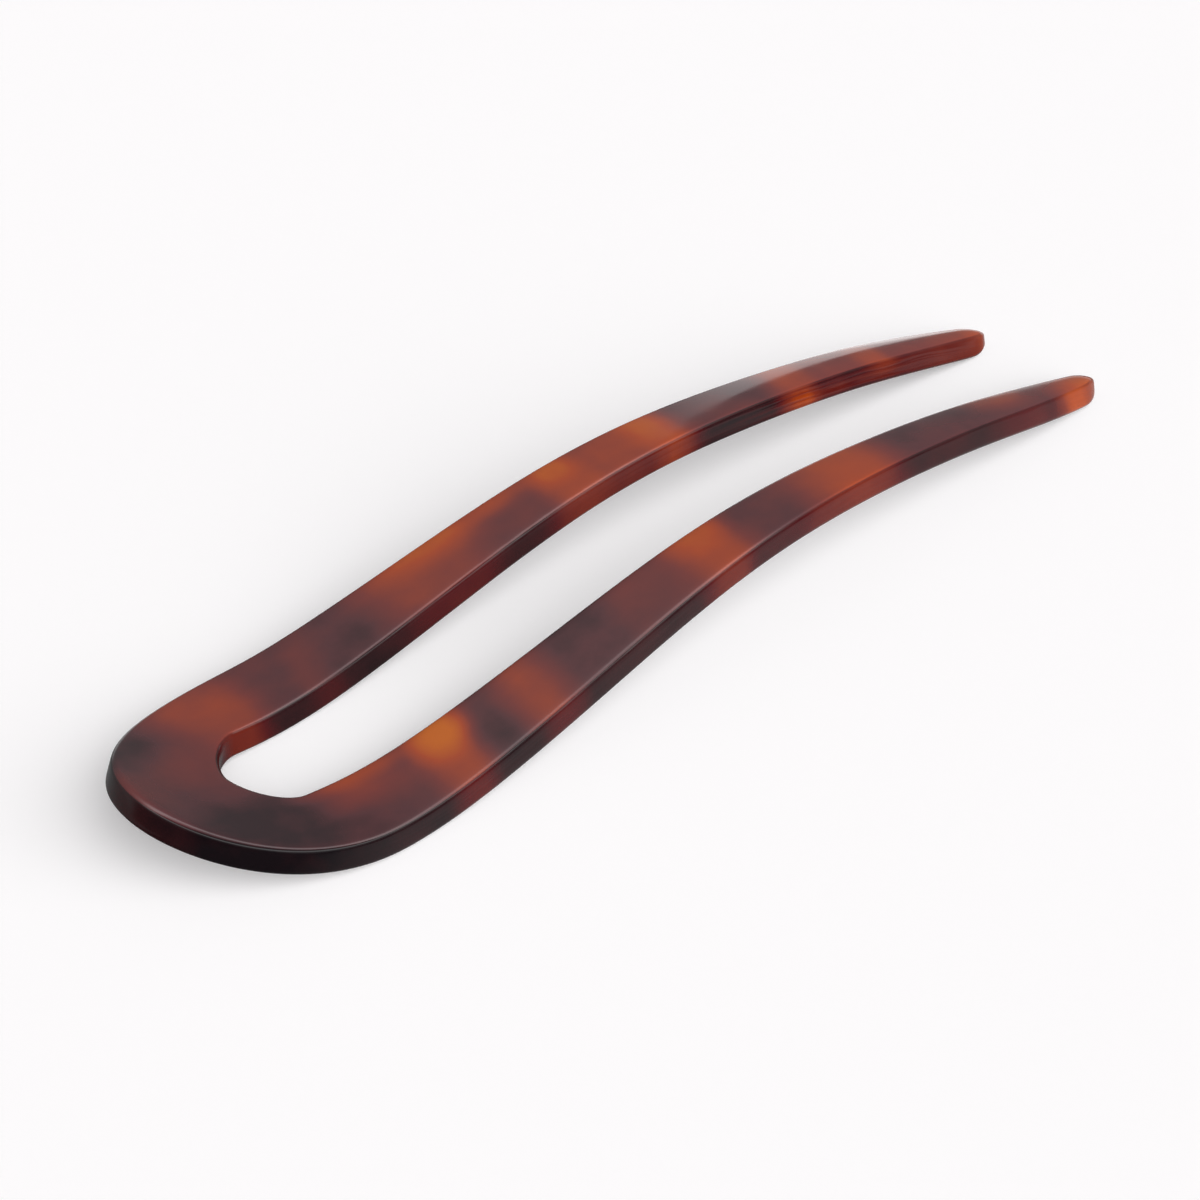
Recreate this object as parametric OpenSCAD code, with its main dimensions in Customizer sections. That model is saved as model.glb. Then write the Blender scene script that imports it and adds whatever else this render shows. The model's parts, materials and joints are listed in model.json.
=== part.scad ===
// A one-piece hair pin: a sheet of plastic cut to a long U with a closed end and two prongs,
// bent into a wave, with rounded edges and tips. It lies on the surface z = 0, with the
// closed end towards -x, the tips towards +x and the origin at the middle of its footprint.

/* [Size] */
// Length of the middle of the sheet seen from above, from the closed end to the tips
pin_length = 120; // [110:1:135]
// Width across both prongs at the widest place
pin_width = 32.5; // [30:0.5:36]
// Thickness of the sheet
sheet_thickness = 2.8; // [2.4:0.1:3.4]

/* [Wave] */
// How far the arch lifts the middle of the sheet above its lowest place
arch_height = 7.4; // [4:0.2:9]

/* [Closed end] */
// Length over which the outer edge rounds off to the front
end_length = 18.5; // [15:0.5:21]
// Squareness of the outer edge's front, where 2 is an ellipse
end_squareness = 2.05; // [1.8:0.05:2.6]
// Width of the band at the front, from the outer edge to the gap
band_width = 9.5; // [7:0.25:9.75]
// Length over which the gap's closed end rounds off
gap_end_length = 4.25; // [4:0.25:7]
// Squareness of the gap's closed end, where 2 is an ellipse
gap_squareness = 1.6; // [1.6:0.1:3]

/* [Edges] */
// Rounding radius of the long edges
edge_radius = 0.6; // [0.4:0.05:0.9]
// Length over which each tip rounds off
tip_length = 3.5; // [2:0.25:6]

/* [Hidden] */

// Columns of the table of sections
HEIGHT = 0;
OUTER = 1;
GAP = 2;
LEAN = 3;
DOME = 4;
// Sections of the pin at even steps from the closed end to the tips. Each row holds:
// the height of the sheet's middle over its lowest place, as a share of arch_height;
// the outer edge, as a share of half of pin_width;
// the edge of the gap, as a share of half of pin_width;
// how far the top edge stands in from the bottom edge, as a share of sheet_thickness;
// how steep the domed top is at its edges, in degrees.
SECTIONS = [
    [0.72, 0.935, 0.347, 0, 0],
    [0.10, 0.975, 0.367, 0, 0],
    [-0.05, 0.992, 0.386, 0, 0],
    [0.15, 0.978, 0.400, 0, 0],
    [0.42, 0.950, 0.412, 0, 0],
    [0.70, 0.915, 0.418, 0, 0],
    [0.91, 0.877, 0.416, 0, 0],
    [0.97, 0.842, 0.404, 0.03, 1],
    [0.90, 0.817, 0.384, 0.14, 4],
    [0.76, 0.804, 0.366, 0.27, 9],
    [0.55, 0.792, 0.358, 0.34, 12],
    [0.24, 0.752, 0.363, 0.36, 12],
    [-0.08, 0.645, 0.382, 0.36, 12]
];
LAST = len(SECTIONS) - 1;
row_step = pin_length / LAST;

half_width = pin_width / 2;
half_sheet = sheet_thickness / 2;
tip_start = pin_length - tip_length;

// Facets: round the closed end, along each prong, round each tip, across the band, in a rounding
end_steps = 14;
prong_steps = 34;
tip_steps = 7;
band_steps = 4;
round_steps = 4;
slope_step = 0.05;
fullest_rounding = 0.96;
// Power that thins the sheet over a tip: lower is blunter
tip_power = 0.6;

// Row i of one column, carried on past both ends of the table at the same bend
function row(i, column) =
    i < 0 ? 3 * row(i + 1, column) - 3 * row(i + 2, column) + row(i + 3, column) :
    i > LAST ? 3 * row(i - 1, column) - 3 * row(i - 2, column) + row(i - 3, column) :
    SECTIONS[i][column];

// Smooth curve along one column at distance x from the closed end: a uniform cubic B-spline
function along(x, column) =
    let(
        u = x / row_step,
        i = floor(u),
        f = u - i,
        g = 1 - f
    )
    (row(i - 1, column) * pow(g, 3)
        + row(i, column) * (3 * pow(f, 3) - 6 * pow(f, 2) + 4)
        + row(i + 1, column) * (3 * pow(g, 3) - 6 * pow(g, 2) + 4)
        + row(i + 2, column) * pow(f, 3)) / 6;

// Side view: height and slope of the middle of the sheet at distance x
function height(x) = arch_height * along(x, HEIGHT);
function slope(x) = atan((height(x + slope_step) - height(x - slope_step)) / (2 * slope_step));

// Share left at u, from 1 where an end starts to round off to 0 at its front
function rounded_off(u, squareness) = pow(max(1 - pow(u, squareness), 0), 1 / squareness);

// Cross-sections of the far prong's half, from the middle of the closed end to the tip:
// [outer point, inner point, share of the thickness], with points as seen from above
end_sections = [
    for (k = [0:end_steps])
        let(
            angle = 90 * k / end_steps,
            outer_u = pow(cos(angle), 2 / end_squareness),
            outer_x = end_length * (1 - outer_u),
            inner_u = pow(cos(angle), 2 / gap_squareness),
            inner_x = band_width + gap_end_length * (1 - inner_u)
        )
        [
            [outer_x, half_width * along(outer_x, OUTER) * rounded_off(outer_u, end_squareness)],
            [inner_x, half_width * along(inner_x, GAP) * rounded_off(inner_u, gap_squareness)],
            1
        ]
];
prong_sections = [
    for (k = [1:prong_steps])
        let(
            share = k / prong_steps,
            outer_x = end_length + (tip_start - end_length) * share,
            inner_start = band_width + gap_end_length,
            inner_x = inner_start + (tip_start - inner_start) * share
        )
        [
            [outer_x, half_width * along(outer_x, OUTER)],
            [inner_x, half_width * along(inner_x, GAP)],
            1
        ]
];
tip_sections = [
    for (k = [1:tip_steps - 1])
        let(
            angle = 90 * k / tip_steps,
            x = tip_start + tip_length * sin(angle),
            outer_y = half_width * along(x, OUTER),
            inner_y = half_width * along(x, GAP),
            middle_y = (outer_y + inner_y) / 2,
            half_prong = (outer_y - inner_y) / 2 * cos(angle)
        )
        [[x, middle_y + half_prong], [x, middle_y - half_prong], pow(cos(angle), tip_power)]
];
far_half = concat(end_sections, prong_sections, tip_sections);
HALF = len(far_half);

function mirrored(p) = [p[0], -p[1]];

// All cross-sections, from the far prong's tip round the closed end to the near prong's tip
all_sections = concat(
    [for (k = [HALF - 1:-1:1]) far_half[k]],
    [for (s = far_half) [mirrored(s[0]), mirrored(s[1]), s[2]]]
);

// Radius of the edges that a cross-section can hold: w is half of its width at the bottom, h
// half of its thickness, lean how far its sides stand in at the top and tilt their angle
function held_radius(w, h, lean, tilt) =
    let(
        top_share = tan((90 - tilt) / 2),
        bottom_share = tan((90 + tilt) / 2)
    )
    fullest_rounding * min(
        (w - lean) / top_share,
        w / bottom_share,
        2 * h / cos(tilt) / (top_share + bottom_share)
    );

// A cross-section with leaning sides, a domed top and rounded edges, as [across, up] points
function rounded_section(w, h, lean, dome) =
    let(
        tilt = atan(lean / (2 * h)),
        r = min(edge_radius, held_radius(w, h, lean, tilt)),
        top_w = w - lean - r * tan((90 - tilt) / 2),
        dome_w = top_w + r * sin(dome),
        dome_h = dome_w * tan(dome) / 2,
        top_h = h - dome_h - r * cos(dome),
        bottom_w = w - r * tan((90 + tilt) / 2),
        bottom_h = h - r,
        top_turn = (90 - tilt - dome) / round_steps,
        bottom_turn = (90 + tilt) / round_steps
    )
    concat(
        [for (k = [0:band_steps], u = [2 * k / band_steps - 1]) [dome_w * u, h - dome_h * u * u]],
        [for (k = [1:round_steps], a = [dome + top_turn * k]) [top_w + r * sin(a), top_h + r * cos(a)]],
        [for (k = [round_steps:-1:0], a = [bottom_turn * k]) [bottom_w + r * sin(a), -bottom_h - r * cos(a)]],
        [for (k = [1:band_steps]) [bottom_w * (1 - 2 * k / band_steps), -h]],
        [for (k = [1:round_steps], a = [bottom_turn * k]) [-bottom_w - r * sin(a), -bottom_h - r * cos(a)]],
        [for (k = [round_steps:-1:1], a = [dome + top_turn * k]) [-top_w - r * sin(a), top_h + r * cos(a)]]
    );

// A point given by its place seen from above and its height over the middle of the sheet,
// bent with the sheet
function bent(p, up) = [p[0] - up * sin(slope(p[0])), p[1], height(p[0]) + up * cos(slope(p[0]))];

function section_points(s) =
    let(
        across = s[1] - s[0],
        w = norm(across) / 2,
        h = half_sheet * s[2],
        middle = (s[0] + s[1]) / 2,
        lean = max(along(middle[0], LEAN), 0) * sheet_thickness * s[2],
        dome = max(along(middle[0], DOME), 0)
    )
    [for (q = rounded_section(w, h, lean, dome)) bent(middle + across / (2 * w) * q[0], q[1])];

function tip_point(side) =
    bent([pin_length, side * half_width * (along(pin_length, OUTER) + along(pin_length, GAP)) / 2], 0);

// All points, with the far tip first and the near tip last
bent_points = concat(
    [tip_point(1)],
    [for (s = all_sections) each section_points(s)],
    [tip_point(-1)]
);

// The shift that sets the pin on the surface, with the origin at the middle of its footprint
all_x = [for (p = bent_points) p[0]];
all_z = [for (p = bent_points) p[2]];
to_origin = [-(min(all_x) + max(all_x)) / 2, 0, -min(all_z)];

RING = 2 * band_steps + 4 * round_steps + 2;
RINGS = len(all_sections);

// Number of corner j of ring i in the list of points
function corner(i, j) = 1 + i * RING + j % RING;

module hair_pin()
    color([0.42, 0.16, 0.08])
        polyhedron(
            points = [for (p = bent_points) p + to_origin],
            faces = concat(
                [for (j = [0:RING - 1]) [0, corner(0, j + 1), corner(0, j)]],
                [for (i = [0:RINGS - 2], j = [0:RING - 1], half = [0, 1])
                    half == 0
                        ? [corner(i, j), corner(i, j + 1), corner(i + 1, j)]
                        : [corner(i, j + 1), corner(i + 1, j + 1), corner(i + 1, j)]],
                [for (j = [0:RING - 1]) [RINGS * RING + 1, corner(RINGS - 1, j), corner(RINGS - 1, j + 1)]]
            ),
            convexity = 6
        );

hair_pin();
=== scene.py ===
"""A tortoiseshell hair pin that lies on a pale floor, under soft studio light."""
import json
import math
from collections import namedtuple

import bpy
from bpy.props import FloatProperty, FloatVectorProperty, IntProperty, PointerProperty
from mathutils import Matrix, Vector

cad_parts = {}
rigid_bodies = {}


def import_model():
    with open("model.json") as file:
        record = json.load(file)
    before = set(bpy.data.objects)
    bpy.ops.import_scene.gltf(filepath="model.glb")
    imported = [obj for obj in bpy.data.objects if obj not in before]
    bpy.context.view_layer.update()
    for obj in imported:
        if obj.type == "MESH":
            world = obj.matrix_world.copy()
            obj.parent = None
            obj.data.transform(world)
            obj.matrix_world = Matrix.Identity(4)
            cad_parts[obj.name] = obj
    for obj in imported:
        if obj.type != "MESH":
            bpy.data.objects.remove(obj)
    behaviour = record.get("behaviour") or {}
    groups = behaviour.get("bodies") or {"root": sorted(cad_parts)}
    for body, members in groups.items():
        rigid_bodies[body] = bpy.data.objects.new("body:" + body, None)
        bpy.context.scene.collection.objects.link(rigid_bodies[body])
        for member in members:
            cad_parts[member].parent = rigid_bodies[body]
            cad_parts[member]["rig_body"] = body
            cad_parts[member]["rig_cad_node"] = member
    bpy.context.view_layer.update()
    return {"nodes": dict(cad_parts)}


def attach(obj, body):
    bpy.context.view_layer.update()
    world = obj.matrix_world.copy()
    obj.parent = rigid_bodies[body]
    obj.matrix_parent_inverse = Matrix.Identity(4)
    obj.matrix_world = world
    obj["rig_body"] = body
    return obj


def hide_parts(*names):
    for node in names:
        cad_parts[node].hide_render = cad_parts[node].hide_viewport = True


bl_info = {
    "name": "Tortoiseshell hair pin",
    "version": (1, 0, 0),
    "blender": (4, 5, 0),
    "location": "3D View > Sidebar > Hair Pin",
    "description": "Dresses the modelled hair pin in tortoiseshell and sets it on a lit floor",
    "category": "Object",
}

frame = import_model()

MM = 0.001

# One soft patch of colour in the shell: its place seen from above, its half length along the
# pin and half width across it in millimetres, its slant in degrees, and how amber it is
Patch = namedtuple("Patch", "x y half_length half_width slant amber")

# Patches that show on the faces, each painted softly over the ones before it
FACE_PATCHES = (
    Patch(-60, 0, 5, 8, 0, 0.25),
    Patch(-55.5, 7.5, 4.5, 4, 40, 0.05),
    Patch(-51.5, 2, 3, 4, 0, 0.24),
    Patch(-49.5, -9.5, 8.5, 5.5, -20, 0.0),
    Patch(-46, 10.5, 4.5, 8, 15, 0.52),
    Patch(-38.5, 10, 3, 12, 0, 0.15),
    Patch(-35, 11, 1.8, 12, -12, 0.28),
    Patch(-29.5, 11, 4.5, 14, -12, 0.09),
    Patch(-17.5, 14, 7, 4.5, 0, 0.80),
    Patch(-18.5, 8.5, 6, 3.5, 0, 0.46),
    Patch(-8.5, 9, 4, 4, 0, 0.24),
    Patch(-8.5, 14.5, 3.5, 2.5, 0, 0.66),
    Patch(-1.5, 12.5, 3, 5, 0, 0.84),
    Patch(-1, 8, 3.2, 3, 0, 0.60),
    Patch(4, 10, 2.6, 10, 0, 0.52),
    Patch(9.8, 10.5, 3.3, 12, 0, 0.80),
    Patch(20, 10, 6, 14, 0, 0.09),
    Patch(29.5, 10.5, 3.2, 12, 0, 0.62),
    Patch(35, 10, 2.5, 12, 0, 0.40),
    Patch(41, 10, 3.2, 12, 0, 0.53),
    Patch(47, 10, 2.8, 12, 0, 0.34),
    Patch(55, 9, 5, 8, 0, 0.47),
    Patch(60, 9, 3, 6, 0, 0.72),
    Patch(-40.5, -9.5, 4, 3.5, 0, 0.36),
    Patch(-40.5, -6.4, 4.5, 1.5, 0, 0.60),
    Patch(-42, -14, 5, 3, 0, 0.12),
    Patch(-33, -11, 2.7, 12, -8, 0.60),
    Patch(-32, -8, 2.6, 3.2, -8, 1.0),
    Patch(-27.4, -13.5, 2.2, 4, 0, 0.08),
    Patch(-22.8, -10.5, 2.5, 12, -8, 0.52),
    Patch(-14.5, -10, 5.5, 14, 0, 0.08),
    Patch(-8.5, -11, 3.5, 8, 0, 0.24),
    Patch(-0.3, -10.5, 3.8, 14, 0, 0.62),
    Patch(0, -7.5, 3, 2.5, 0, 0.74),
    Patch(8, -10, 3.5, 12, 0, 0.13),
    Patch(19.5, -10, 6.2, 14, 0, 0.64),
    Patch(32.5, -10, 6.5, 14, 0, 0.10),
    Patch(44.5, -7.2, 4.5, 2.4, 0, 0.52),
    Patch(51, -9, 2.5, 6, 0, 0.20),
    Patch(57, -10.5, 4.5, 6, 0, 0.76),
)

# Patches that show on the edges at the front of each prong, painted over the faces' own
EDGE_PATCHES = (
    Patch(-45, 6, 2.8, 3, 0, 0.62),
    Patch(-39, 6.5, 3, 3, 0, 0.14),
    Patch(-34.5, 6.5, 2, 2.5, 0, 0.24),
    Patch(-28, 6.8, 4, 2.5, 0, 0.10),
    Patch(-18.5, 7, 5.5, 2.5, 0, 0.36),
    Patch(-10, 7, 3, 2.5, 0, 0.16),
    Patch(-1.5, 7, 4.2, 2.5, 0, 0.60),
    Patch(5, 7, 2, 2.5, 0, 0.46),
    Patch(10.5, 6.7, 2.8, 2.5, 0, 0.80),
    Patch(19.5, 6.5, 5.5, 2.5, 0, 0.12),
    Patch(28.8, 6.3, 2.4, 2.5, 0, 0.76),
    Patch(33.8, 6.3, 2.2, 2.5, 0, 0.34),
    Patch(41, 6.1, 4, 2.2, 0, 0.32),
    Patch(41.5, 7.7, 5, 0.9, 0, 0.95),
    Patch(46.5, 6.5, 2, 2.5, 0, 0.32),
    Patch(53, 6.8, 6, 3, 0, 0.52),
    Patch(59.5, 8.5, 3, 5, 0, 0.78),
    Patch(-50, -13, 12, 8, 15, 0.0),
    Patch(-41, -15.8, 5, 3, 0, 0.08),
    Patch(-33.5, -15.8, 2.2, 3, 0, 0.42),
    Patch(-28, -15.5, 3, 3, 0, 0.08),
    Patch(-22.5, -15, 2, 3, 0, 0.38),
    Patch(-12, -14.5, 7, 3, 0, 0.12),
    Patch(-0.5, -14, 3, 3, 0, 0.56),
    Patch(6, -13.5, 3, 3, 0, 0.20),
    Patch(17, -13.2, 7.5, 3, 0, 0.52),
    Patch(20.5, -13, 3.5, 3, 0, 0.66),
    Patch(32.5, -12.7, 7.5, 3, 0, 0.14),
    Patch(45.5, -12.3, 5, 3, 0, 0.36),
    Patch(54.5, -11, 3.5, 4, 0, 0.95),
    Patch(60, -10, 2.5, 4, 0, 0.85),
)

# A patch is whole up to its core and gone past its rim, as shares of its half sizes
PATCH_CORE = 0.2
PATCH_RIM = 1.8
# How far apart the nodes of two patches stand in the editor
PATCH_SPACING = 190

# How upright the normal is where the edges' colours start, and where they are alone. The edges' colours
# are darker copies of the faces': painted shade on the walls and roundings, starting high on the
# roundings so as to paint a dark line under each ridge
EDGE_START = 0.93
EDGE_FULL = 0.75

# How amber the shell is at each colour of its tints, from deep to amber
TINT_STOPS = (0.0, 0.12, 0.35, 0.7, 1.0)

# The range that holds most of a noise with detail, and most of the plainer noise of the lines
NOISE_RANGE = (0.3, 0.7)
LINES_RANGE = (0.35, 0.65)

# Height of the middle of the sheet at places along the pin: (x, z) in millimetres, all of
# them under the limit
ARCH = (
    (-60, 4.8), (-50, 2.9), (-40, 1.5), (-30, 2.6), (-20, 4.5), (-10, 6.5), (0, 8.0),
    (10, 8.5), (20, 8.1), (30, 7.0), (40, 5.4), (50, 3.3), (60, 0.9),
)
ARCH_LIMIT = 10.0

# The fine lines: how many times their width they are long, where their ridges come in along the pin, and
# where they come in and go out as streaks of colour, which paint highlight and shade along the polish
# lines
LINE_STRETCH = 120.0
RIDGES_IN = (-48 * MM, -40 * MM)
STREAKS_IN = (10 * MM, 25 * MM)
STREAKS_OUT = (50 * MM, 38 * MM)

# The polish: how much its roughness varies either way, and how strongly the shell bends light
POLISH_SPREAD = 0.04
SHELL_IOR = 1.49

# What the floor's light meets in place of the shell, so that no red falls on the floor
PLAIN_SHELL = (0.05, 0.05, 0.05, 1.0)

# What the polish mirrors of the studio behind the pin and before it, seen from the camera:
# (height, brightness), from the horizon (0) to overhead (1)
MIRRORED_BEHIND = ((0.0, 0.3), (0.26, 0.3), (0.5, 0.42), (0.82, 0.45), (0.93, 4.4), (1.0, 0.6))
MIRRORED_BEFORE = ((0.0, 0.08), (0.58, 0.04), (0.7, 3.4), (0.82, 0.05), (0.92, 0.1), (1.0, 0.6))
# The two meet at the sides, softly over this share of straight ahead either way
MIRRORED_SIDES = 0.12
# The brightness that full white in the two colour ramps stands for
RAMP_UNIT = 4.0

# What the polish mirrors of the floor, from this far before the pin's middle line (0) to as far behind
# it (1): (place, brightness); the dimmer stretch between the prongs is painted shade of the floor in the
# polish
MIRRORED_REACH = 25 * MM
MIRRORED_FLOOR = ((0.0, 0.5), (0.28, 0.5), (0.4, 0.25), (0.62, 0.2), (0.72, 0.9), (1.0, 1.0))
# The places along the pin between which the mirrored floor dims towards the closed end, and the share
# that is left there: painted shade of the floor in the polish
MIRRORED_DIM = (-56 * MM, -40 * MM)
DIM_SHARE = 0.2

# How nearly a direction has to point at the front light to get some of it, and all of it
FRONT_RANGE = (0.6, 1.0)

# What the camera sees past the floor's far edge, and the length of the floor's sides in metres
SURROUND = (0.975, 0.958, 0.966, 1.0)
FLOOR_SIZE = 20.0

# The white card behind the far prong, and the shares along each side over which it fades
CARD_LENGTH = 75 * MM
CARD_WIDTH = 17 * MM
CARD_LEAN = math.radians(27.8)
CARD_PLACE = (56 * MM, 35 * MM, 10.5 * MM)
CARD_FADES = (("X", 0.0, 0.4), ("Y", 1.0, 0.6))

# How near points have to be to be joined, and how bent or skewed a quad made of two triangles
# may be
WELD_DISTANCE = 0.001 * MM
QUAD_BEND = math.radians(60)

# The width of the camera's sensor in millimetres, and the nearest and farthest that it sees
SENSOR_WIDTH = 36.0
CAMERA_CLIP = (0.01, 50.0)


def select_only(obj):
    """Makes obj the one selected and active object."""
    bpy.ops.object.select_all(action="DESELECT")
    obj.select_set(True)
    bpy.context.view_layer.objects.active = obj


def feed(tree, entry, value):
    """Gives an input socket a value, or joins an output socket to it."""
    if isinstance(value, bpy.types.NodeSocket):
        tree.links.new(value, entry)
    else:
        entry.default_value = value


def add_node(tree, kind, place, entries=None, **settings):
    """Adds a node with its own settings, and a value or an output socket for each entry named."""
    node = tree.nodes.new(kind)
    node.location = place
    for name, value in settings.items():
        setattr(node, name, value)
    for key, value in (entries or {}).items():
        feed(tree, node.inputs[key], value)
    return node


def calculate(tree, place, operation, *values, use_clamp=False):
    """Works out a number from values and output sockets, and returns the output."""
    entries = dict(enumerate(values))
    node = add_node(tree, "ShaderNodeMath", place, entries, operation=operation, use_clamp=use_clamp)
    return node.outputs["Value"]


def calculate_vector(tree, place, operation, entries):
    """Works out a vector, or a length or dot product, and returns the output."""
    node = add_node(tree, "ShaderNodeVectorMath", place, entries, operation=operation)
    gives_number = operation in ("LENGTH", "DOT_PRODUCT")
    return node.outputs["Value" if gives_number else "Vector"]


def split(tree, place, vector):
    """The outputs X, Y and Z of a vector."""
    return add_node(tree, "ShaderNodeSeparateXYZ", place, {"Vector": vector}).outputs


def map_range(tree, place, value, start, end, low=0.0, high=1.0, shape="LINEAR"):
    """Carries a value that runs from start to end to one from low to high, and returns the output."""
    entries = {"Value": value, "From Min": start, "From Max": end, "To Min": low, "To Max": high}
    node = add_node(tree, "ShaderNodeMapRange", place, entries, interpolation_type=shape)
    return node.outputs["Result"]


def smooth_step(tree, place, value, start, end, low=0.0, high=1.0):
    """Does what map_range does, with a soft start and end."""
    return map_range(tree, place, value, start, end, low, high, "SMOOTHSTEP")


def add_noise(tree, place, vector, scale, detail):
    """The outputs of a noise texture."""
    entries = {"Vector": vector, "Scale": scale, "Detail": detail}
    return add_node(tree, "ShaderNodeTexNoise", place, entries).outputs


def color_ramp(tree, place, factor, stops, interpolation="B_SPLINE"):
    """A colour ramp with one stop for each (position, colour or grey value), and returns the output."""
    node = add_node(tree, "ShaderNodeValToRGB", place, {"Fac": factor})
    ramp = node.color_ramp
    ramp.interpolation = interpolation
    while len(ramp.elements) < len(stops):
        ramp.elements.new(0.5)
    for element, (position, color) in zip(ramp.elements, stops):
        element.position = position
        element.color = (*color, 1.0) if hasattr(color, "__len__") else (color, color, color, 1.0)
    return node.outputs["Color"]


def mix_colors(tree, place, factor, first, second):
    """A colour mix: each of factor, first and second is a value or an output socket."""
    entries = {0: factor, 6: first, 7: second}
    return add_node(tree, "ShaderNodeMix", place, entries, data_type="RGBA").outputs[2]


def mix_shaders(tree, place, factor, first, second):
    """The first shader where factor is 0 and the second where it is 1."""
    entries = {0: factor, 1: first, 2: second}
    return add_node(tree, "ShaderNodeMixShader", place, entries).outputs["Shader"]


def new_group(name, inputs, outputs):
    """An empty node group with the sockets named, and its two end nodes."""
    tree = bpy.data.node_groups.new(name, "ShaderNodeTree")
    for socket_name, kind, value in inputs:
        socket = tree.interface.new_socket(socket_name, in_out="INPUT", socket_type=kind)
        if value is not None:
            socket.default_value = value
    for socket_name, kind in outputs:
        tree.interface.new_socket(socket_name, in_out="OUTPUT", socket_type=kind)
    return tree, add_node(tree, "NodeGroupInput", (-900, 0)), add_node(tree, "NodeGroupOutput", (900, 0))


def patch_group():
    """A soft-edged patch, painted over the patches before it."""
    tree, start, end = new_group(
        "Shell patch",
        (
            ("Vector", "NodeSocketVector", None),
            ("Centre", "NodeSocketVector", None),
            ("Slant", "NodeSocketVector", None),
            ("Half Size", "NodeSocketVector", (1.0, 1.0, 1.0)),
            ("Amber", "NodeSocketFloat", 0.5),
            ("Others", "NodeSocketFloat", 0.0),
        ),
        (("Amber", "NodeSocketFloat"),),
    )
    given = start.outputs
    entries = {
        "Vector": given["Vector"],
        "Location": given["Centre"],
        "Rotation": given["Slant"],
        "Scale": given["Half Size"],
    }
    placed = add_node(tree, "ShaderNodeMapping", (-650, 0), entries, vector_type="TEXTURE")
    entries = {0: placed.outputs["Vector"], 1: (1.0, 1.0, 0.0)}
    flat = calculate_vector(tree, (-450, 0), "MULTIPLY", entries)
    away = calculate_vector(tree, (-250, 0), "LENGTH", {0: flat})
    shown = smooth_step(tree, (-50, 0), away, PATCH_RIM, PATCH_CORE)
    entries = {0: shown, 2: given["Others"], 3: given["Amber"]}
    joined = add_node(tree, "ShaderNodeMix", (300, 0), entries, data_type="FLOAT")
    feed(tree, end.inputs["Amber"], joined.outputs[0])
    return tree


def add_patches(tree, group, patches, vector, before, place):
    """Paints one patch for each row of the table over the value before, and returns the last output."""
    for i, patch in enumerate(patches):
        entries = {
            "Vector": vector,
            "Centre": (patch.x * MM, patch.y * MM, 0.0),
            "Slant": (0.0, 0.0, math.radians(patch.slant)),
            "Half Size": (patch.half_length * MM, patch.half_width * MM, 1.0),
            "Amber": patch.amber,
            "Others": before,
        }
        spot = (place[0] + PATCH_SPACING * i, place[1])
        node = add_node(tree, "ShaderNodeGroup", spot, entries, node_tree=group)
        node.name = f"Patch at {patch.x:g}, {patch.y:g}"
        before = node.outputs["Amber"]
    return before


def add_ripples(tree, place, look):
    """Places with a slow noise added, which lets the outlines of the patches stray."""
    scale = 1.0 / look.patch_grain
    ripples = add_noise(tree, (-2400, -200), place, scale, detail=2.0)["Color"]
    # The noise runs from 0 to 1, so twice its distance from the middle runs from -1 to 1
    centred = calculate_vector(tree, (-2200, -200), "SUBTRACT", {0: ripples, 1: (0.5, 0.5, 0.5)})
    entries = {0: centred, "Scale": 2.0 * look.patch_wander}
    shift = calculate_vector(tree, (-2000, -200), "SCALE", entries)
    return calculate_vector(tree, (-1800, 0), "ADD", {0: place, 1: shift})


def edge_mask(tree, normal):
    """0 on the faces and 1 on the edges, from how upright the normal is."""
    upright = calculate(tree, (3400, -300), "ABSOLUTE", split(tree, (3200, -300), normal)["Z"])
    return smooth_step(tree, (3600, -300), upright, EDGE_START, EDGE_FULL)


def fine_lines(tree, place, look):
    """Noise drawn out along the pin into fine lines that follow its arch."""
    start, end = ARCH[0][0], ARCH[-1][0]
    parts = split(tree, (4500, -600), place)
    share = map_range(tree, (4700, -400), parts["X"], start * MM, end * MM)
    stops = [((x - start) / (end - start), z / ARCH_LIMIT) for x, z in ARCH]
    arch = color_ramp(tree, (4900, -400), share, stops, "CARDINAL")
    above = calculate(tree, (5100, -600), "MULTIPLY_ADD", arch, -ARCH_LIMIT * MM, parts["Z"])
    entries = {"X": parts["X"], "Y": parts["Y"], "Z": above}
    level = add_node(tree, "ShaderNodeCombineXYZ", (5300, -600), entries)
    entries = {
        "Vector": level.outputs["Vector"],
        "Scale": (LINE_STRETCH * look.line_width, look.line_width, look.line_width),
    }
    drawn = add_node(tree, "ShaderNodeMapping", (5500, -600), entries, vector_type="TEXTURE")
    return add_noise(tree, (5700, -600), drawn.outputs["Vector"], scale=1.0, detail=1.0)["Fac"]


def add_streaks(tree, place, amber, lines, look):
    """Lets the fine lines lighten and darken the middle of the far prong's inner edge: painted highlight
    and shade along its polish lines.
    """
    parts = split(tree, (5900, -400), place)
    come_in = smooth_step(tree, (6100, -500), parts["X"], *STREAKS_IN)
    go_out = smooth_step(tree, (6100, -700), parts["X"], *STREAKS_OUT)
    far_side = calculate(tree, (6100, -300), "GREATER_THAN", parts["Y"], 0.0)
    middle = calculate(tree, (6300, -700), "MULTIPLY", come_in, go_out)
    streak_reach = calculate(tree, (6300, -500), "MULTIPLY", middle, far_side)
    streaks = map_range(tree, (6300, -300), lines, *LINES_RANGE, -look.streaks, look.streaks)
    return calculate(tree, (6500, -300), "MULTIPLY_ADD", streaks, streak_reach, amber)


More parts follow.
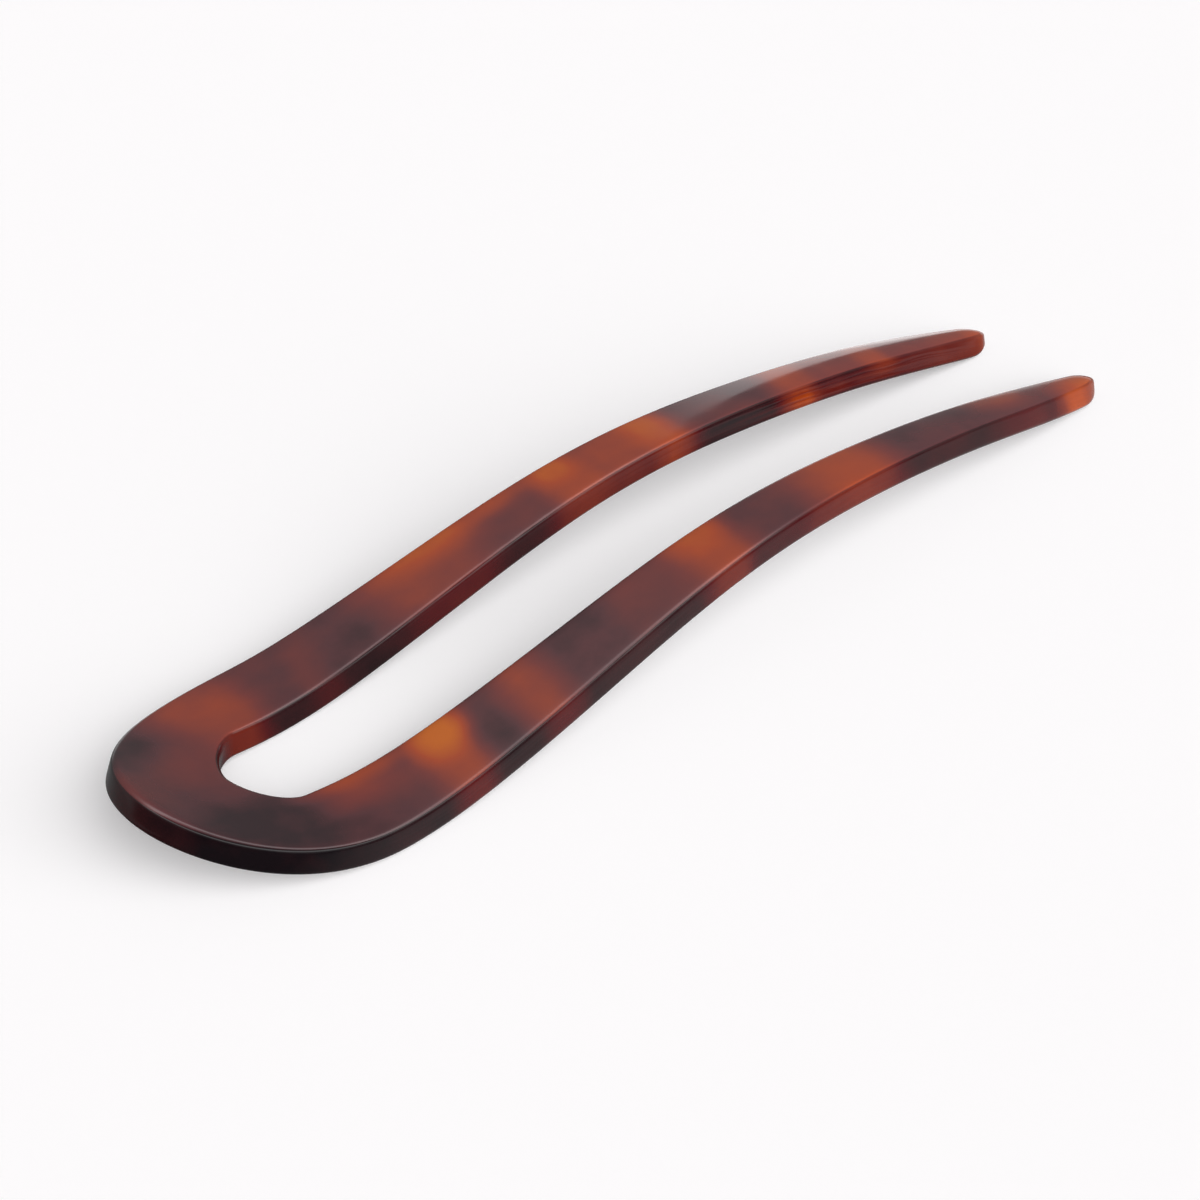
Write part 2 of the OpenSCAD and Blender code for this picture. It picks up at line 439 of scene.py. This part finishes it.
def shell_color(tree, place, on_edge, lines, cloud, look):
    """The patches of the faces and of the edges, with faint clouds; the edges take darker tints of the
    same colours, which are painted shade.
    """
    rippled = add_ripples(tree, place, look)
    group = patch_group()
    face_amber = add_patches(tree, group, FACE_PATCHES, rippled, look.plain_amber, (-1500, 500))
    # The edges' amber is dimmed and tinted darker than the faces': painted shade on the walls
    shade_dimmed = calculate(tree, (-1700, -500), "MULTIPLY", face_amber, look.edge_shade_dimming)
    edge_amber = add_patches(tree, group, EDGE_PATCHES, rippled, shade_dimmed, (-1500, -500))
    edge_amber = add_streaks(tree, place, edge_amber, lines, look)
    face_colors = (
        look.deep_color,
        look.dark_color,
        look.red_color,
        look.orange_color,
        look.amber_color,
    )
    shaded_edge_colors = (
        look.shaded_edge_deep_color,
        look.shaded_edge_dark_color,
        look.shaded_edge_red_color,
        look.shaded_edge_orange_color,
        look.shaded_edge_amber_color,
    )
    clouds = map_range(tree, (6500, 300), cloud, *NOISE_RANGE, -look.clouding, look.clouding)
    tints = []
    for amber, colors, height in ((face_amber, face_colors, 500), (edge_amber, shaded_edge_colors, 100)):
        level = calculate(tree, (6700, height), "ADD", amber, clouds, use_clamp=True)
        tints.append(color_ramp(tree, (6900, height), level, list(zip(TINT_STOPS, colors)), "LINEAR"))
    return mix_colors(tree, (7200, 300), on_edge, *tints)


def polish_lines(tree, place, lines, on_edge, look):
    """Fine ridges along the prongs' edges, where they were rubbed smooth lengthwise."""
    on_prongs = smooth_step(tree, (6500, -1100), split(tree, (6300, -1100), place)["X"], *RIDGES_IN)
    shown = calculate(tree, (6700, -1000), "MULTIPLY", on_prongs, on_edge)
    height = calculate(tree, (6900, -900), "MULTIPLY", lines, shown)
    entries = {"Distance": look.line_depth, "Height": height}
    return add_node(tree, "ShaderNodeBump", (7100, -800), entries).outputs["Normal"]


def shell_material(look):
    """Tortoiseshell acetate: dark and amber patches through the sheet, softly polished."""
    material = bpy.data.materials.new("Tortoiseshell acetate")
    material.use_nodes = True
    tree = material.node_tree
    tree.nodes.clear()
    coordinates = add_node(tree, "ShaderNodeTexCoord", (-2600, 0)).outputs
    place = coordinates["Object"]
    on_edge = edge_mask(tree, coordinates["Normal"])
    lines = fine_lines(tree, place, look)
    cloud = add_noise(tree, (6300, 300), place, 1.0 / look.cloud_grain, detail=3.0)["Fac"]
    smoothest = look.roughness - POLISH_SPREAD
    roughest = look.roughness + POLISH_SPREAD
    entries = {
        "Base Color": shell_color(tree, place, on_edge, lines, cloud, look),
        "IOR": SHELL_IOR,
        "Roughness": map_range(tree, (7300, -100), cloud, *NOISE_RANGE, smoothest, roughest),
        "Normal": polish_lines(tree, place, lines, on_edge, look),
    }
    shader = add_node(tree, "ShaderNodeBsdfPrincipled", (7600, 200), entries).outputs["BSDF"]
    plain = add_node(tree, "ShaderNodeBsdfDiffuse", (7600, -500), {"Color": PLAIN_SHELL}).outputs["BSDF"]
    ray = add_node(tree, "ShaderNodeLightPath", (7600, 600)).outputs
    chosen = mix_shaders(tree, (7900, 200), ray["Is Diffuse Ray"], shader, plain)
    add_node(tree, "ShaderNodeOutputMaterial", (8200, 200), {"Surface": chosen})
    return material


def floor_material(studio):
    """A matt light table: it glows a little, so that the shadows on it stay faint."""
    paint = bpy.data.materials.new("Light table")
    paint.use_nodes = True
    tree = paint.node_tree
    shader = tree.nodes["Principled BSDF"]
    shader.inputs["Base Color"].default_value = (*studio.floor_color, 1.0)
    shader.inputs["Roughness"].default_value = 1.0
    shader.inputs["Specular IOR Level"].default_value = 0.0
    shader.inputs["Emission Color"].default_value = (*studio.floor_glow, 1.0)
    shader.inputs["Emission Strength"].default_value = 1.0
    place = add_node(tree, "ShaderNodeTexCoord", (-1000, -500)).outputs["Object"]
    parts = split(tree, (-800, -500), place)
    # For the polish the floor is darker between the prongs and towards the closed end: painted shade in
    # its reflection
    across = map_range(tree, (-600, -500), parts["Y"], -MIRRORED_REACH, MIRRORED_REACH)
    along = smooth_step(tree, (-600, -800), parts["X"], *MIRRORED_DIM, DIM_SHARE)
    entries = {
        "Color": color_ramp(tree, (-400, -500), across, MIRRORED_FLOOR, "LINEAR"),
        "Strength": calculate(tree, (-200, -700), "MULTIPLY", along, studio.mirrored_floor),
    }
    mirrored = add_node(tree, "ShaderNodeEmission", (0, -500), entries).outputs["Emission"]
    ray = add_node(tree, "ShaderNodeLightPath", (0, 400)).outputs
    chosen = mix_shaders(tree, (400, 0), ray["Is Glossy Ray"], shader.outputs["BSDF"], mirrored)
    feed(tree, tree.nodes["Material Output"].inputs["Surface"], chosen)
    return paint


def mirrored_studio(tree, direction, studio):
    """The plain studio that the polish mirrors: one ramp of brightness behind, another before."""
    height = split(tree, (-1000, 300), direction)["Z"]
    shades = [
        color_ramp(tree, (-700, y), height, [(z, value / RAMP_UNIT) for z, value in stops])
        for y, stops in ((200, MIRRORED_BEFORE), (500, MIRRORED_BEHIND))
    ]
    ahead = (-math.sin(studio.camera_turn), math.cos(studio.camera_turn), 0.0)
    toward = calculate_vector(tree, (-1000, -100), "DOT_PRODUCT", {0: direction, 1: ahead})
    side = smooth_step(tree, (-700, -100), toward, -MIRRORED_SIDES, MIRRORED_SIDES)
    entries = {"Color": mix_colors(tree, (-400, 200), side, *shades), "Strength": RAMP_UNIT}
    return add_node(tree, "ShaderNodeBackground", (0, 200), entries).outputs["Background"]


def soft_light(studio):
    """Light from all round, fullest from the front, and the plain studio that the polish mirrors."""
    world = bpy.data.worlds.new("Soft light")
    world.use_nodes = True
    tree = world.node_tree
    tree.nodes.clear()
    direction = add_node(tree, "ShaderNodeTexCoord", (-1200, 0)).outputs["Object"]
    entries = {0: direction, 1: Vector(studio.light_from).normalized()}
    toward = calculate_vector(tree, (-1000, -500), "DOT_PRODUCT", entries)
    front = smooth_step(tree, (-700, -500), toward, *FRONT_RANGE, studio.light, studio.front_light)
    soft = add_node(tree, "ShaderNodeBackground", (0, -300), {"Strength": front}).outputs["Background"]
    mirrored = mirrored_studio(tree, direction, studio)
    ray = add_node(tree, "ShaderNodeLightPath", (0, 700)).outputs
    chosen = mix_shaders(tree, (300, 0), ray["Is Glossy Ray"], soft, mirrored)
    surround = add_node(tree, "ShaderNodeBackground", (300, -300), {"Color": SURROUND}).outputs
    seen = mix_shaders(tree, (500, 0), ray["Is Camera Ray"], chosen, surround["Background"])
    add_node(tree, "ShaderNodeOutputWorld", (700, 0), {"Surface": seen})
    return world


def white_card(studio):
    """A glow from behind on the right, which only the far prong's polish mirrors."""
    light = bpy.data.lights.new("White card", "AREA")
    light.shape = "RECTANGLE"
    light.size = CARD_LENGTH
    light.size_y = CARD_WIDTH
    light.energy = studio.card * math.pi * CARD_LENGTH * CARD_WIDTH
    light.use_nodes = True
    tree = light.node_tree
    place = add_node(tree, "ShaderNodeNewGeometry", (-800, 0)).outputs["Parametric"]
    parts = split(tree, (-600, 0), place)
    fades = [
        smooth_step(tree, (-400, 200 * i), parts[axis], start, end)
        for i, (axis, start, end) in enumerate(CARD_FADES)
    ]
    strength = calculate(tree, (-200, 0), "MULTIPLY", *fades)
    feed(tree, tree.nodes["Emission"].inputs["Strength"], strength)
    card = bpy.data.objects.new("White card", light)
    lean = Matrix.Rotation(CARD_LEAN, 4, "Y")
    upright = Matrix.Rotation(math.pi / 2, 4, "X")
    card.matrix_world = Matrix.Translation(Vector(CARD_PLACE)) @ lean @ upright.inverted()
    card.visible_camera = False
    card.visible_diffuse = False
    bpy.context.scene.collection.objects.link(card)


def add_camera(studio):
    """The camera that the photo was taken with, as far as its outline tells."""
    camera = bpy.data.cameras.new("Camera")
    camera.lens = studio.lens
    camera.sensor_width = SENSOR_WIDTH
    camera.clip_start, camera.clip_end = CAMERA_CLIP
    holder = bpy.data.objects.new("Camera", camera)
    bpy.context.scene.collection.objects.link(holder)
    turn = Matrix.Rotation(studio.camera_turn, 4, "Z")
    tilt = Matrix.Rotation(math.pi / 2 - studio.camera_height, 4, "X")
    roll = Matrix.Rotation(-studio.camera_roll, 4, "Z")
    holder.matrix_world = Matrix.Translation(Vector(studio.camera_place)) @ turn @ tilt @ roll
    return holder


def color_setting(name, description, default):
    """A colour for the panel."""
    return FloatVectorProperty(
        name=name, description=description, default=default, min=0.0, max=1.0, subtype="COLOR"
    )


def amount_setting(name, description, default, least, most):
    """A plain number for the panel."""
    return FloatProperty(name=name, description=description, default=default, min=least, max=most)


def length_setting(name, description, default, least, most, precision=4):
    """A length for the panel."""
    return FloatProperty(
        name=name, description=description, default=default, min=least, max=most,
        unit="LENGTH", precision=precision,
    )


def angle_setting(name, description, degrees):
    """An angle for the panel."""
    return FloatProperty(
        name=name, description=description, default=math.radians(degrees), subtype="ANGLE"
    )


class HairPinLook(bpy.types.PropertyGroup):
    """Colours and finish of the shell."""

    smoothness: IntProperty(
        name="Smoothness", description="Levels of subdivision on the pin", default=2, min=0, max=3
    )
    plain_amber: amount_setting(
        "Plain amber", "How amber the shell is between its patches", 0.16, 0.0, 1.0
    )
    # Dimming the edges' amber paints shade on the walls
    edge_shade_dimming: amount_setting(
        "Edge dimming", "How amber the edges are beside the faces", 0.6, 0.0, 1.0
    )
    patch_grain: length_setting(
        "Patch grain", "Size of the ripples in the patches' outlines", 14 * MM, 2 * MM, 60 * MM
    )
    patch_wander: length_setting(
        "Patch wander", "How far the patches' outlines stray", 1.5 * MM, 0.0, 8 * MM
    )
    deep_color: color_setting("Deep", "Deepest shell on the faces", (0.022, 0.005, 0.008))
    dark_color: color_setting("Dark", "Dark shell on the faces", (0.082, 0.020, 0.024))
    red_color: color_setting("Red", "Red-brown shell on the faces", (0.17, 0.027, 0.022))
    orange_color: color_setting("Orange", "Orange shell on the faces", (0.38, 0.052, 0.008))
    amber_color: color_setting("Amber", "Lightest shell on the faces", (0.53, 0.115, 0.002))
    # The edges' colours are darker copies of the faces': painted shade on the walls and roundings
    shaded_edge_deep_color: color_setting(
        "Edge deep", "Deepest shell on the edges", (0.003, 0.001, 0.002)
    )
    shaded_edge_dark_color: color_setting("Edge dark", "Dark shell on the edges", (0.019, 0.003, 0.004))
    shaded_edge_red_color: color_setting(
        "Edge red", "Red-brown shell on the edges", (0.053, 0.003, 0.004)
    )
    shaded_edge_orange_color: color_setting(
        "Edge orange", "Orange shell on the edges", (0.132, 0.015, 0.006)
    )
    shaded_edge_amber_color: color_setting(
        "Edge amber", "Lightest shell on the edges", (0.31, 0.044, 0.002)
    )
    cloud_grain: length_setting(
        "Cloud grain", "Size of the faint clouds in the patches", 5 * MM, 1 * MM, 30 * MM
    )
    clouding: amount_setting("Clouding", "How much the faint clouds change the amber", 0.05, 0.0, 0.5)
    line_width: length_setting(
        "Line width", "Width of the fine lines along the edges", 0.45 * MM, 0.05 * MM, 2 * MM, 5
    )
    line_depth: length_setting(
        "Line depth", "Depth of the fine lines along the edges", 0.05 * MM, 0.0, 0.5 * MM, 6
    )
    # The streaks are painted highlight and shade along the far prong's polish lines
    streaks: amount_setting("Streaks", "How much the fine lines change the amber", 0.14, 0.0, 0.5)
    roughness: amount_setting("Roughness", "How dull the polish is", 0.13, 0.0, 1.0)


class HairPinStudio(bpy.types.PropertyGroup):
    """Floor, light and camera."""

    floor_color: color_setting("Floor", "Colour of the floor", (0.80, 0.786, 0.793))
    floor_glow: color_setting(
        "Floor glow", "Light that the floor gives off itself", (0.264, 0.259, 0.261)
    )
    mirrored_floor: amount_setting(
        "Mirrored floor", "Brightness of the floor in the polish", 1.0, 0.0, 2.0
    )
    light: amount_setting("Light", "Strength of the soft light all round", 0.2, 0.0, 10.0)
    front_light: amount_setting(
        "Front light", "Strength of the soft light from the front", 5.9, 0.0, 20.0
    )
    card: amount_setting("White card", "Brightness of the card behind in the polish", 1.2, 0.0, 10.0)
    light_from: FloatVectorProperty(
        name="Light from", description="Direction that the front light comes from",
        default=(0.08, -0.85, 0.42), subtype="DIRECTION",
    )
    lens: amount_setting("Lens", "Focal length of the camera in millimetres", 59.0, 20.0, 200.0)
    camera_turn: angle_setting("Camera turn", "Turn of the camera round the vertical", -35.27)
    camera_height: angle_setting("Camera elevation", "How far the camera looks down", 35.54)
    camera_roll: angle_setting("Camera roll", "Roll of the camera to the right", 6.54)
    camera_place: FloatVectorProperty(
        name="Camera place", description="Where the camera stands",
        default=(-0.10083, -0.13347, 0.11786), subtype="TRANSLATION", unit="LENGTH",
    )


class HAIRPIN_OT_add_pin(bpy.types.Operator):
    """Adds the pin, smoothed from the modelled sheet and dressed in tortoiseshell"""

    bl_idname = "hairpin.add_pin"
    bl_label = "Add Pin"

    def execute(self, context):
        look = context.scene.hair_pin_look
        select_only(frame["nodes"]["hair_pin"])
        bpy.ops.object.duplicate()
        pin = context.view_layer.objects.active
        bpy.ops.object.parent_clear(type="CLEAR_KEEP_TRANSFORM")
        pin.name = "pin"
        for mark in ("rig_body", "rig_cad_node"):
            del pin[mark]
        bpy.ops.object.mode_set(mode="EDIT")
        bpy.ops.mesh.select_all(action="SELECT")
        bpy.ops.mesh.remove_doubles(threshold=WELD_DISTANCE)
        bpy.ops.mesh.tris_convert_to_quads(face_threshold=QUAD_BEND, shape_threshold=QUAD_BEND)
        bpy.ops.object.mode_set(mode="OBJECT")
        smooth = pin.modifiers.new("Smooth", "SUBSURF")
        smooth.levels = look.smoothness
        smooth.render_levels = look.smoothness
        bpy.ops.object.modifier_apply(modifier=smooth.name)
        bpy.ops.object.shade_smooth()
        pin.data.materials.clear()
        pin.data.materials.append(shell_material(look))
        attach(pin, "root")
        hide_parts("hair_pin")
        return {"FINISHED"}


class HAIRPIN_OT_add_studio(bpy.types.Operator):
    """Adds the floor, the light all round and the camera"""

    bl_idname = "hairpin.add_studio"
    bl_label = "Add Studio"

    def execute(self, context):
        studio = context.scene.hair_pin_studio
        bpy.ops.object.select_all(action="DESELECT")
        bpy.ops.mesh.primitive_plane_add(size=FLOOR_SIZE)
        floor = context.view_layer.objects.active
        floor.name = "floor"
        floor.data.materials.append(floor_material(studio))
        context.scene.world = soft_light(studio)
        white_card(studio)
        context.scene.view_settings.view_transform = "Standard"
        context.scene.camera = add_camera(studio)
        return {"FINISHED"}


class HAIRPIN_PT_panel(bpy.types.Panel):
    """Lists the pin, its finish and the studio"""

    bl_idname = "HAIRPIN_PT_panel"
    bl_label = "Hair Pin"
    bl_space_type = "VIEW_3D"
    bl_region_type = "UI"
    bl_category = "Hair Pin"

    def draw(self, context):
        for label, settings, operator in (
            ("Shell", context.scene.hair_pin_look, "hairpin.add_pin"),
            ("Studio", context.scene.hair_pin_studio, "hairpin.add_studio"),
        ):
            box = self.layout.box()
            box.label(text=label)
            for name in settings.__annotations__:
                box.prop(settings, name)
            box.operator(operator)


CLASSES = (HairPinLook, HairPinStudio, HAIRPIN_OT_add_pin, HAIRPIN_OT_add_studio, HAIRPIN_PT_panel)


def register():
    for cls in CLASSES:
        bpy.utils.register_class(cls)
    bpy.types.Scene.hair_pin_look = PointerProperty(type=HairPinLook)
    bpy.types.Scene.hair_pin_studio = PointerProperty(type=HairPinStudio)


def unregister():
    del bpy.types.Scene.hair_pin_studio
    del bpy.types.Scene.hair_pin_look
    for cls in reversed(CLASSES):
        bpy.utils.unregister_class(cls)


def main():
    register()
    bpy.ops.hairpin.add_studio()
    bpy.ops.hairpin.add_pin()
    bpy.context.view_layer.update()


if __name__ == "__main__":
    main()
